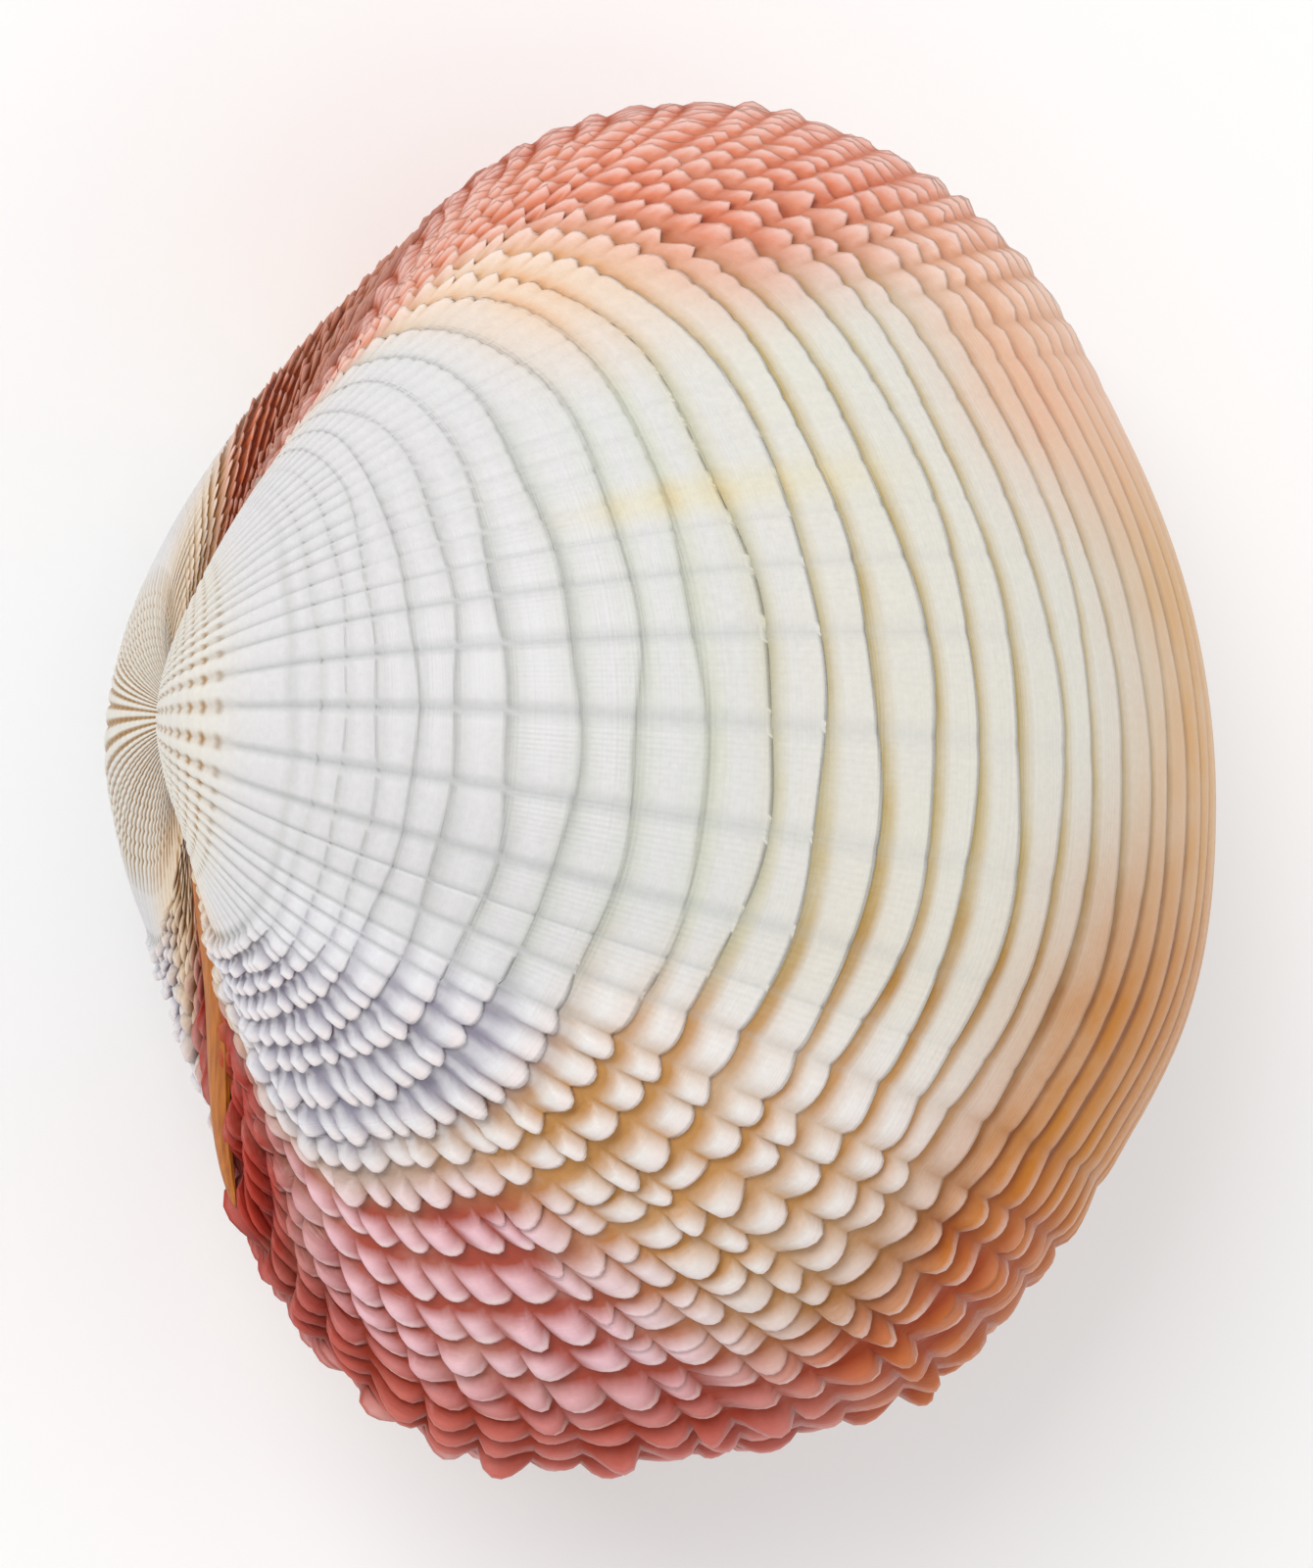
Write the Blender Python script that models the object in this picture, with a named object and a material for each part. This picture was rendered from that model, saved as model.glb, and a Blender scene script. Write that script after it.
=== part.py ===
"""A closed cockle shell: two ribbed valves and the ligament behind their beaks.

Each valve is one grid of faces that a function rolls up into a closed cup. The outside follows a
spiral: the edge of the young shell is the final edge made smaller and turned about the hinge line,
so growth ridges run parallel to the edge and ribs fan out from the beak.

The valve frame has its origin at the beaks. +X points from the hinge to the far edge, +Y to the
front end and +Z away from the plane where the valves meet. The pair is then tipped to lie as it
comes to rest on its left valve, with the right valve up.
"""
import math

import bmesh
import bpy
from mathutils import Vector

COLLECTION = "cockle_shell"
MM = 0.001

# Outline where the valves meet: distance from its middle to the edge, every 22.5 degrees, from the
# far edge round by the front end to the hinge and back by the rear end.
OUTLINE_MIDDLE_ALONG = -2.6 * MM
OUTLINE_MIDDLE_OUT = 30.5 * MM
OUTLINE_REACH_MM = (28.5, 29.1, 31.2, 35.4, 37.9, 36.6, 31.9, 30.7, 29.6, 29.9, 35.5, 37.8, 35.3, 33.7, 30.5, 29.4)

# Spiral growth about the hinge line, from the edge inwards, in shrink per radian turned.
SHRINK_AT_EDGE = 0.20
SHRINK_RISE = 1.18
SHRINK_CURVE = -0.23
TIP_TURN = math.radians(170.0)
YOUNG_STRETCH = 0.25
FRONT_PINCH = 6.6 * MM
REAR_PINCH = 5.4 * MM

# Growth ridges, each a slope that rises to a lip and drops to the next groove.
RIDGE_COUNT = 19
RIDGE_TURN_END = math.radians(80.0)
RIDGE_LIP_PLACE = 0.24
RIDGE_HEIGHT = 0.70 * MM
MIDDLE_RIDGE_SHARE = 0.60
TIP_ROWS = 5

# Ribs: one column of the grid on each rib and one between ribs.
COLUMNS = 48
RIB_HEIGHT = 0.60 * MM
MIDDLE_RIB_SHARE = 0.20
YOUNG_RIB_SHARE = 0.35
MIDDLE_RIB_WIDTH = 2.4
END_RIB_WIDTH = 1.0
MIDDLE_RIBS_AT = math.radians(5.0)
MIDDLE_RIBS_SPREAD = math.radians(45.0)
HINGE_SMOOTH = math.radians(22.0)
HINGE_BLEND = math.radians(28.0)

# Inside of the valve.
WALL = 2.2 * MM
BOWL_DEPTH = 22.0 * MM
BOWL_SHIFT = 6.0 * MM
BOWL_LEAN = 1.35
BOWL_ROWS = 4

JOIN_GAP = 0.3 * MM
WELD = 0.00001

# Ligament in the groove behind the beaks.
LIGAMENT_START = math.radians(193.0)
LIGAMENT_END = math.radians(214.0)
LIGAMENT_HALF_WIDTH = 1.0 * MM
LIGAMENT_THICKNESS = 1.0 * MM
LIGAMENT_SIDES = 12

# How the pair lies: the front end hangs lower than the rear, and the hinge a little lower than the far edge.
REST_FRONT_DOWN = math.radians(7.64)
REST_HINGE_DOWN = math.radians(0.21)

# Colours of the surfaces, as linear red, green, blue and alpha.
IVORY = (0.80, 0.74, 0.60, 1.0)
PEACH = (0.74, 0.48, 0.32, 1.0)
BROWN = (0.42, 0.16, 0.04, 1.0)


def clear_scene():
    """Remove the objects that the file opened with."""
    for item in list(bpy.data.objects):
        bpy.data.objects.remove(item, do_unlink=True)


def outline_reach(angle):
    """Distance from the middle of the outline to its edge, by a smooth closed curve."""
    count = len(OUTLINE_REACH_MM)
    place = (angle / math.tau) % 1.0 * count
    index = int(place)
    step = place - index
    before, start, end, after = (OUTLINE_REACH_MM[(index + shift) % count] for shift in (-1, 0, 1, 2))
    rise = (end - before) / 2.0
    fall = (after - start) / 2.0
    bend = 2.0 * (start - end) + rise + fall
    reach = start + step * (rise + step * (3.0 * (end - start) - 2.0 * rise - fall + step * bend))
    return reach * MM


def shrink(turn):
    """Size of the young shell whose edge lies at this turn, against the final size."""
    return math.exp(-turn * (SHRINK_AT_EDGE + turn * (SHRINK_RISE / 2.0 + turn * SHRINK_CURVE / 3.0)))


def smooth_point(angle, turn):
    """Point on the valve without ridges or ribs."""
    reach = outline_reach(angle)
    size = shrink(turn)
    along = (OUTLINE_MIDDLE_ALONG + reach * math.sin(angle)) * (1.0 + YOUNG_STRETCH * (1.0 - size))
    out = OUTLINE_MIDDLE_OUT + reach * math.cos(angle)
    if math.cos(angle) < 0.0:
        pinch = FRONT_PINCH if math.sin(angle) > 0.0 else REAR_PINCH
        out += (1.0 - size) * pinch * math.sin(2.0 * angle) ** 2
    return Vector((out * math.cos(turn), along, out * math.sin(turn))) * size


def outward(angle, turn):
    """Direction away from the valve wall."""
    step = 0.01
    round_edge = smooth_point(angle + step, turn) - smooth_point(angle - step, turn)
    towards_tip = smooth_point(angle, turn + step) - smooth_point(angle, max(turn - step, 0.0))
    return round_edge.cross(towards_tip).normalized()


def rib_width(angle):
    """Relative width of a rib: wide over the middle of the valve and narrow towards its ends."""
    bend = (angle - MIDDLE_RIBS_AT) / MIDDLE_RIBS_SPREAD
    return END_RIB_WIDTH + (MIDDLE_RIB_WIDTH - END_RIB_WIDTH) * math.exp(-bend * bend)


def column_angles():
    """Angles of the grid's columns from the hinge round by the front end, two to a rib."""
    slices = 720
    crossed = [0.0]
    for index in range(slices):
        angle = math.pi - math.tau * (index + 0.5) / slices
        crossed.append(crossed[-1] + 1.0 / rib_width(angle))
    angles = []
    index = 0
    for column in range(COLUMNS + 1):
        target = crossed[-1] * column / COLUMNS
        while index < slices - 1 and crossed[index + 1] < target:
            index += 1
        part = (target - crossed[index]) / (crossed[index + 1] - crossed[index])
        angles.append(math.pi - math.tau * (index + part) / slices)
    return angles


def hinge_fade(angle):
    """Zero at the hinge, where the wall is smooth, and one over the rest of the valve."""
    from_hinge = math.pi - abs(angle)
    part = min(max((from_hinge - HINGE_SMOOTH) / HINGE_BLEND, 0.0), 1.0)
    return part * part * (3.0 - 2.0 * part)


def end_share(angle):
    """Zero over the smooth middle of the valve and one over its scaly ends."""
    bend = (angle - MIDDLE_RIBS_AT) / MIDDLE_RIBS_SPREAD
    return 1.0 - math.exp(-bend * bend)


def outer_rows():
    """Turn and lip height of each row of the outside, from the tip of the beak to the edge."""
    rows = []
    for index in range(TIP_ROWS):
        part = index / TIP_ROWS
        rows.append((TIP_TURN + (RIDGE_TURN_END - TIP_TURN) * math.sqrt(part), 0.0))
    spacing = RIDGE_TURN_END / RIDGE_COUNT
    for index in range(RIDGE_COUNT, 0, -1):
        rows.append((index * spacing, 0.0))
        rows.append(((index - 1 + RIDGE_LIP_PLACE) * spacing, 1.0))
    rows.append((0.0, 0.0))
    return rows


def outer_point(angle, turn, lip, on_rib):
    """Point of the outside, with its ridge and rib."""
    size = shrink(turn)
    ends = end_share(angle)
    ridge = lip * RIDGE_HEIGHT * (MIDDLE_RIDGE_SHARE + (1.0 - MIDDLE_RIDGE_SHARE) * ends)
    rib = on_rib * RIB_HEIGHT * (MIDDLE_RIB_SHARE + (1.0 - MIDDLE_RIB_SHARE) * ends)
    rib *= max(lip, YOUNG_RIB_SHARE if turn > 0.0 else 0.0)
    relief = (ridge + rib) * hinge_fade(angle) * math.sqrt(size)
    if relief == 0.0:
        return smooth_point(angle, turn)
    return smooth_point(angle, turn) + outward(angle, turn) * relief


def bowl_point(angle, part):
    """Point of the inside: part is 0 at the rim and 1 at the deepest place."""
    rim = smooth_point(angle, 0.0)
    middle = Vector((OUTLINE_MIDDLE_OUT - BOWL_SHIFT, OUTLINE_MIDDLE_ALONG, 0.0))
    inner_rim = rim + (middle - rim).normalized() * WALL
    sweep = part * math.pi / 2.0
    place = middle + (inner_rim - middle) * math.cos(sweep) ** BOWL_LEAN
    place.z = BOWL_DEPTH * math.sin(sweep)
    return place


def face_outwards(shape):
    """Turn every face of a closed shape to point out."""
    shape.normal_update()
    bmesh.ops.recalc_face_normals(shape, faces=shape.faces)


def roll_up(side):
    """Mesh of one valve: a flat grid whose rows run from the beak over the edge into the bowl."""
    angles = column_angles()
    outside = outer_rows()
    last_row = len(outside) + BOWL_ROWS
    shape = bmesh.new()
    bmesh.ops.create_grid(shape, x_segments=COLUMNS, y_segments=last_row, size=0.5)
    for vertex in shape.verts:
        column = round((vertex.co.x + 0.5) * COLUMNS)
        row = round((vertex.co.y + 0.5) * last_row)
        angle = angles[column]
        if row < len(outside):
            turn, lip = outside[row]
            tip_angle = 0.0 if row == 0 else angle
            place = outer_point(tip_angle, turn, lip, column % 2)
        else:
            place = bowl_point(angle, (row - len(outside)) / BOWL_ROWS)
        vertex.co = (place.x, place.y, side * (place.z + JOIN_GAP / 2.0))
    bmesh.ops.remove_doubles(shape, verts=shape.verts, dist=WELD)
    face_outwards(shape)
    return shape


def ligament_mesh():
    """Mesh of the ligament: a ball drawn out along the edge behind the beaks."""
    shape = bmesh.new()
    bmesh.ops.create_uvsphere(shape, u_segments=LIGAMENT_SIDES, v_segments=LIGAMENT_SIDES, radius=1.0)
    for vertex in shape.verts:
        across, up, along = vertex.co
        angle = LIGAMENT_START + (LIGAMENT_END - LIGAMENT_START) * (along + 1.0) / 2.0
        edge = smooth_point(angle, 0.0)
        run = smooth_point(angle + 0.01, 0.0) - smooth_point(angle - 0.01, 0.0)
        away = run.cross(Vector((0.0, 0.0, 1.0))).normalized()
        lift = JOIN_GAP + LIGAMENT_THICKNESS / 2.0 * (1.0 + across)
        vertex.co = edge + away * lift + Vector((0.0, 0.0, up * LIGAMENT_HALF_WIDTH))
    face_outwards(shape)
    return shape


def make_material(name, colour, roughness):
    """Plain surface of one colour."""
    material = bpy.data.materials.new(name)
    material.use_nodes = True
    surface = material.node_tree.nodes["Principled BSDF"]
    surface.inputs["Base Color"].default_value = colour
    surface.inputs["Roughness"].default_value = roughness
    surface.inputs["Metallic"].default_value = 0.0
    return material


def add_piece(name, shape, material, collection, holder):
    """Object of one piece, carried by the empty that lays the pair down."""
    mesh = bpy.data.meshes.new(name)
    shape.to_mesh(mesh)
    shape.free()
    mesh.materials.append(material)
    piece = bpy.data.objects.new(name, mesh)
    collection.objects.link(piece)
    piece.parent = holder
    return piece


def lay_down(holder, pieces):
    """Tip the pair to its rest and put the middle of its underside at the origin."""
    holder.rotation_euler = (-REST_FRONT_DOWN, -REST_HINGE_DOWN, 0.0)
    bpy.context.view_layer.update()
    places = [piece.matrix_world @ vertex.co for piece in pieces for vertex in piece.data.vertices]
    low = Vector([min(place[axis] for place in places) for axis in range(3)])
    high = Vector([max(place[axis] for place in places) for axis in range(3)])
    holder.location = (-(low.x + high.x) / 2.0, -(low.y + high.y) / 2.0, -low.z)
    bpy.context.view_layer.update()


def main():
    """Build the two valves and the ligament."""
    clear_scene()
    collection = bpy.data.collections.new(COLLECTION)
    bpy.context.scene.collection.children.link(collection)
    holder = bpy.data.objects.new("resting_pair", None)
    collection.objects.link(holder)
    right = add_piece("right_valve", roll_up(1.0), make_material("ivory_shell", IVORY, 0.45), collection, holder)
    left = add_piece("left_valve", roll_up(-1.0), make_material("peach_shell", PEACH, 0.45), collection, holder)
    brown = make_material("dried_ligament", BROWN, 0.6)
    band = add_piece("ligament", ligament_mesh(), brown, collection, holder)
    band.data.shade_smooth()
    lay_down(holder, [right, left, band])


main()
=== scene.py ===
"""Looks of a closed cockle shell that lies on its left valve.

Both valves are grown by the spiral that the solids have: the edge of the young shell is the final edge
made smaller and turned about the hinge line. On that spiral stand the growth bands, each a thin plate
whose lip laps over the next band, and the ribs, which break the lips into scales at the two ends.

The valve frame has its origin at the beaks. +X points from the hinge to the far edge, +Y to the front
end and +Z away from the plane where the valves meet.
"""

import logging
import math
from dataclasses import dataclass
from enum import Enum

import bmesh
import bpy
import numpy as np
from mathutils import Matrix, Vector


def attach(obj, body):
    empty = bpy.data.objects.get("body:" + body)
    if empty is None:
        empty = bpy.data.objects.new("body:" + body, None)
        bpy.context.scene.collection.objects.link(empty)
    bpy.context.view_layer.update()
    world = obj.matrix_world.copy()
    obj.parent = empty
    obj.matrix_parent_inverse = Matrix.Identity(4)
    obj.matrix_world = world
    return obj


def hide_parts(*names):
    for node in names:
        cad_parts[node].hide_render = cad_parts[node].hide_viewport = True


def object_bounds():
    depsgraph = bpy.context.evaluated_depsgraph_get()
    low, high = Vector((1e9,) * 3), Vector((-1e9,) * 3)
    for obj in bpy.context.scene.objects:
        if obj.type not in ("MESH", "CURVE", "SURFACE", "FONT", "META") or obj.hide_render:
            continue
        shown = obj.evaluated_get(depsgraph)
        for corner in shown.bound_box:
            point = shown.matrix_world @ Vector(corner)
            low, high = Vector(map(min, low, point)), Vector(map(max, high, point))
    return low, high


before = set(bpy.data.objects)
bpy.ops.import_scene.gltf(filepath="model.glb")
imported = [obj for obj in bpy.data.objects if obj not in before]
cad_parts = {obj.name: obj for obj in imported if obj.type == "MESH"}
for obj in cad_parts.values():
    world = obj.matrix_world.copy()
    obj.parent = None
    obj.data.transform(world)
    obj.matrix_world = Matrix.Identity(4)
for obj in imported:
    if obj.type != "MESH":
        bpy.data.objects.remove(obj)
CAD_BOX = [list(corner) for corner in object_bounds()]

LOG = logging.getLogger("cockle_shell")
BODY = "root"
MM = 0.001
DEG = math.pi / 180.0
WELD = 0.000002
JOIN_GAP = 0.3 * MM
INSET = 0.01 * MM
# Step of the row in each band where the painted highlight along the lip is strongest.
RIM_STEP = 0.90

# How the pair lies, as in the solids: the beaks' place and the two turns that lay it down.
BEAKS_AT = (-28.1509 * MM, 1.8182 * MM, 25.942 * MM)
REST_FRONT_DOWN = 7.64 * DEG
REST_HINGE_DOWN = 0.21 * DEG


def rest_matrix() -> Matrix:
    """The turn and place that take the valve frame to where the pair lies."""
    lean = Matrix.Rotation(-REST_HINGE_DOWN, 4, "Y") @ Matrix.Rotation(-REST_FRONT_DOWN, 4, "X")
    return Matrix.Translation(BEAKS_AT) @ lean


def ramp(value: np.ndarray, start: float, end: float) -> np.ndarray:
    """Smooth step from 0 at start to 1 at end.

    Args:
        value: numbers to look up.
        start: where the step begins.
        end: where the step is done; it may lie below start.

    Returns:
        The height of the step at each value.
    """
    part = np.clip((value - start) / (end - start), 0.0, 1.0)
    return part * part * (3.0 - 2.0 * part)


def ramp_at(value: float, start: float, end: float) -> float:
    """Smooth step for a single number."""
    return float(ramp(np.array(value), start, end))


def linear(hex_colour: str) -> tuple[float, float, float, float]:
    """Colour for a shader from an sRGB hex value.

    Args:
        hex_colour: a hash sign and six digits.

    Returns:
        Red, green, blue and alpha, linear.
    """
    channels = []
    for start in (1, 3, 5):
        value = int(hex_colour[start:start + 2], 16) / 255.0
        channels.append(value / 12.92 if value <= 0.04045 else ((value + 0.055) / 1.055) ** 2.4)
    return (channels[0], channels[1], channels[2], 1.0)


class Side(Enum):
    """Which valve a piece is, as the sign of its Z in the valve frame."""

    RIGHT = 1.0
    LEFT = -1.0


@dataclass(frozen=True)
class Growth:
    """Spiral form that both valves share, in the valve frame.

    A place on it has an angle round the edge (0 at the far edge, positive to the front end) and a
    turn about the hinge line (0 at the final edge, growing towards the tip of the beak).
    """

    middle_along: float = -2.6 * MM
    middle_out: float = 30.5 * MM
    reach_mm: tuple[float, ...] = (
        28.5, 29.1, 31.2, 35.4, 37.9, 36.6, 31.9, 30.7, 29.6, 29.9, 35.5, 37.8, 35.3, 33.7, 30.5, 29.4)
    shrink_at_edge: float = 0.20
    shrink_rise: float = 1.18
    shrink_curve: float = -0.23
    young_stretch: float = 0.25
    front_pinch: float = 6.6 * MM
    rear_pinch: float = 5.4 * MM
    tip_turn: float = 170.0 * DEG

    def reach(self, angle: np.ndarray) -> np.ndarray:
        """Distance from the outline's middle to the edge, by a smooth closed curve.

        Args:
            angle: angles round the edge.

        Returns:
            The distance at each angle.
        """
        count = len(self.reach_mm)
        known = np.array(self.reach_mm) * MM
        place = (angle / math.tau) % 1.0 * count
        index = np.floor(place).astype(int)
        step = place - index
        before, start, end, after = (known[(index + shift) % count] for shift in (-1, 0, 1, 2))
        rise = (end - before) / 2.0
        fall = (after - start) / 2.0
        bend = 2.0 * (start - end) + rise + fall
        return start + step * (rise + step * (3.0 * (end - start) - 2.0 * rise - fall + step * bend))

    def size(self, turn: np.ndarray) -> np.ndarray:
        """Size of the young shell whose edge lies at this turn, against the final size."""
        rise = self.shrink_rise / 2.0 + turn * self.shrink_curve / 3.0
        return np.exp(-turn * (self.shrink_at_edge + turn * rise))

    def point(self, angle: np.ndarray, turn: np.ndarray) -> np.ndarray:
        """Places on the smooth wall, one for each pair of angle and turn.

        Args:
            angle: angles round the edge.
            turn: a turn for each angle.

        Returns:
            The places in the valve frame.
        """
        size = self.size(turn)
        reach = self.reach(angle)
        along = (self.middle_along + reach * np.sin(angle)) * (1.0 + self.young_stretch * (1.0 - size))
        out = self.middle_out + reach * np.cos(angle)
        pinch = np.where(np.sin(angle) > 0.0, self.front_pinch, self.rear_pinch)
        out = out + np.where(np.cos(angle) < 0.0, (1.0 - size) * pinch * np.sin(2.0 * angle) ** 2, 0.0)
        return np.stack([out * np.cos(turn) * size, along * size, out * np.sin(turn) * size], axis=-1)

    def outward(self, angle: np.ndarray, turn: np.ndarray) -> np.ndarray:
        """Unit directions away from the wall.

        Args:
            angle: angles round the edge.
            turn: a turn for each angle.

        Returns:
            The directions in the valve frame.
        """
        step = 0.01
        round_edge = self.point(angle + step, turn) - self.point(angle - step, turn)
        towards_tip = self.point(angle, turn + step) - self.point(angle, np.maximum(turn - step, 0.0))
        away = np.cross(round_edge, towards_tip)
        return away / np.maximum(np.linalg.norm(away, axis=-1, keepdims=True), 1e-12)


@dataclass(frozen=True)
class Course:
    """A value that changes with the turn, in straight lines between known turns."""

    turns_deg: tuple[float, ...]
    values: tuple[float, ...]

    def at(self, age: float) -> float:
        """Value at a turn in degrees."""
        return float(np.interp(age, self.turns_deg, self.values))


@dataclass
class Columns:
    """Columns of a valve's grid, from the hinge round by the front end.

    Each has its angle, the number of its rib, its place across that rib from -1 to 1, and how much of
    the relief it has beside the smooth hinge.
    """

    angles: np.ndarray
    ribs: np.ndarray
    across: np.ndarray
    fade: np.ndarray


@dataclass(frozen=True)
class Ribbing:
    """Where the ribs lie round the edge: broad and faint over the middle, narrow and scaly at the ends."""

    widest: float = 16.8 * DEG
    widest_at: float = -4.0 * DEG
    front_width: float = 3.4 * DEG
    rear_width: float = 4.9 * DEG
    front_spread: float = 35.0 * DEG
    rear_spread: float = 30.0 * DEG
    gap_at: float = 3.5 * DEG
    slices: int = 7200
    uneven: float = 0.17
    seed: int = 5
    hinge_smooth: float = 10.0 * DEG
    hinge_blend: float = 24.0 * DEG
    # Faces across a rib: one of the counts below, by where its width lies between these widths.
    face_widths: tuple[float, ...] = (4.5 * DEG, 7.0 * DEG, 12.0 * DEG)
    face_counts: tuple[int, ...] = (4, 6, 8, 12)
    # Up to which turn the scales reach at each angle, all in degrees, at the front end and at the rear end.
    front_angles: tuple[float, ...] = (44.0, 60.0, 90.0, 120.0, 150.0)
    front_turns: tuple[float, ...] = (14.0, 27.0, 50.0, 72.0, 92.0)
    rear_angles: tuple[float, ...] = (36.0, 60.0, 80.0, 120.0)
    rear_turns: tuple[float, ...] = (46.0, 68.0, 84.0, 92.0)

    def width(self, angle: np.ndarray) -> np.ndarray:
        """Width of the rib at an angle.

        Args:
            angle: angles round the edge.

        Returns:
            The width at each angle.
        """
        end = np.where(angle > self.widest_at, self.front_width, self.rear_width)
        spread = np.where(angle > self.widest_at, self.front_spread, self.rear_spread)
        bend = (angle - self.widest_at) / spread
        return end + (self.widest - end) * np.exp(-bend * bend)

    def phases(self) -> tuple[np.ndarray, np.ndarray]:
        """Count the ribs round the whole edge.

        Returns:
            Fine steps of the angle, and the count of ribs up to each. A gap lies at each half.
        """
        angles = np.linspace(-math.pi, math.pi, self.slices + 1)
        middles = (angles[1:] + angles[:-1]) / 2.0
        counts = np.concatenate([[0.0], np.cumsum(math.tau / self.slices / self.width(middles))])
        counts -= np.interp(self.gap_at, angles, counts) + 0.5
        return angles, counts

    def columns(self) -> Columns:
        """The grid's columns, with a few to each rib.

        Returns:
            The columns, from the hinge round by the front end.
        """
        angles, counts = self.phases()
        first = math.ceil(counts[0] + 0.5)
        last = math.floor(counts[-1] - 0.5)
        rng = np.random.default_rng(self.seed)
        nudges = self.uneven * (rng.random(last - first + 2) * 2.0 - 1.0)
        found = [counts[0]]
        places = [counts[0]]
        for rib in range(first, last + 1):
            at = float(np.interp(rib, counts, angles))
            width = float(self.width(np.array(at)))
            share = ramp_at(abs(at), 24.0 * DEG, 44.0 * DEG) * ramp_at(math.pi - abs(at), 0.0, 20.0 * DEG)
            start, end = nudges[rib - first] * share, nudges[rib - first + 1] * share
            faces = self.face_counts[int(np.searchsorted(self.face_widths, width, side="right"))]
            steps = np.arange(faces) / faces
            found.extend(rib - 0.5 + steps)
            places.extend(rib - 0.5 + start + steps * (1.0 + end - start))
        found.extend([last + 0.5, counts[-1]])
        places.extend([last + 0.5, counts[-1]])
        angles = np.interp(np.sort(places), counts, angles)[::-1]
        found = np.array(found)[::-1]
        ribs = np.round(found).astype(int)
        return Columns(angles, ribs - ribs.min(), (found - ribs) * 2.0, self.hinge_fade(angles))

    def scaly(self, angle: np.ndarray, turn: float) -> tuple[np.ndarray, np.ndarray]:
        """How far the lips are broken into scales.

        Args:
            angle: angles round the edge.
            turn: the turn of the band.

        Returns:
            The share at the front end and the share at the rear end, each from 0 to 1.
        """
        place = angle / DEG
        age = turn / DEG
        front_limit = np.interp(place, self.front_angles, self.front_turns)
        rear_limit = np.interp(-place, self.rear_angles, self.rear_turns)
        front = ramp(place, 42.0, 66.0) * (1.0 - ramp(age - front_limit, -8.0, 9.0))
        rear = ramp(-place, 34.0, 64.0) * (1.0 - ramp(age - rear_limit, -9.0, 8.0))
        return front, rear

    def hinge_fade(self, angle: np.ndarray) -> np.ndarray:
        """Zero at the hinge, where the wall is smooth, and one over the rest."""
        return ramp(math.pi - np.abs(angle), self.hinge_smooth, self.hinge_smooth + self.hinge_blend)


@dataclass(frozen=True)
class Banding:
    """Growth bands between the final edge and the young shell, and the rings on the young shell."""

    turns_deg: tuple[float, ...] = (0.0, 20.0, 30.0, 44.0, 60.0, 66.0, 75.0, 90.0)
    widths_deg: tuple[float, ...] = (2.5, 2.45, 2.8, 3.4, 4.7, 3.9, 3.2, 3.0)
    oldest_turn: float = 84.0 * DEG
    ring_width: float = 4.3 * DEG
    band_steps: tuple[float, ...] = (0.0, 0.20, 0.38, 0.56, RIM_STEP, 1.0)
    ring_steps: tuple[float, ...] = (0.0, 0.3, 0.7)
    # Below the first number two bands share a row of scales, and below the second over the whole rear end.
    paired: int = 18
    paired_all: int = 8
    paired_from_deg: float = 66.0
    paired_full_deg: float = 92.0

    def edges(self) -> list[float]:
        """Turns of the band edges, from the final edge to the oldest band.

        Returns:
            The turns in radians.
        """
        found = [0.0]
        while found[-1] < self.oldest_turn:
            width = float(np.interp(found[-1] / DEG, self.turns_deg, self.widths_deg)) * DEG
            found.append(found[-1] + width)
        return found


@dataclass(frozen=True)
class Zone:
    """One patch of shell colour: where it lies, and its colours on the plates and in the gaps."""

    name: str
    plate: str
    gap: str
    angle_deg: float
    half_deg: float
    soft_deg: float
    turn_from: float
    turn_to: float
    turn_soft: float

    def weight(self, angle: np.ndarray, turn: np.ndarray) -> np.ndarray:
        """Strength of the patch at each place, from 0 to 1.

        Args:
            angle: angles round the edge.
            turn: a turn for each angle.

        Returns:
            The strength at each place.
        """
        off = np.abs((angle / DEG - self.angle_deg + 180.0) % 360.0 - 180.0)
        near = 1.0 - ramp(off, self.half_deg - self.soft_deg / 2.0, self.half_deg + self.soft_deg / 2.0)
        age = turn / DEG
        low = ramp(age, self.turn_from - self.turn_soft / 2.0, self.turn_from + self.turn_soft / 2.0)
        high = 1.0 - ramp(age, self.turn_to - self.turn_soft / 2.0, self.turn_to + self.turn_soft / 2.0)
        return near * low * high


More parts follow.
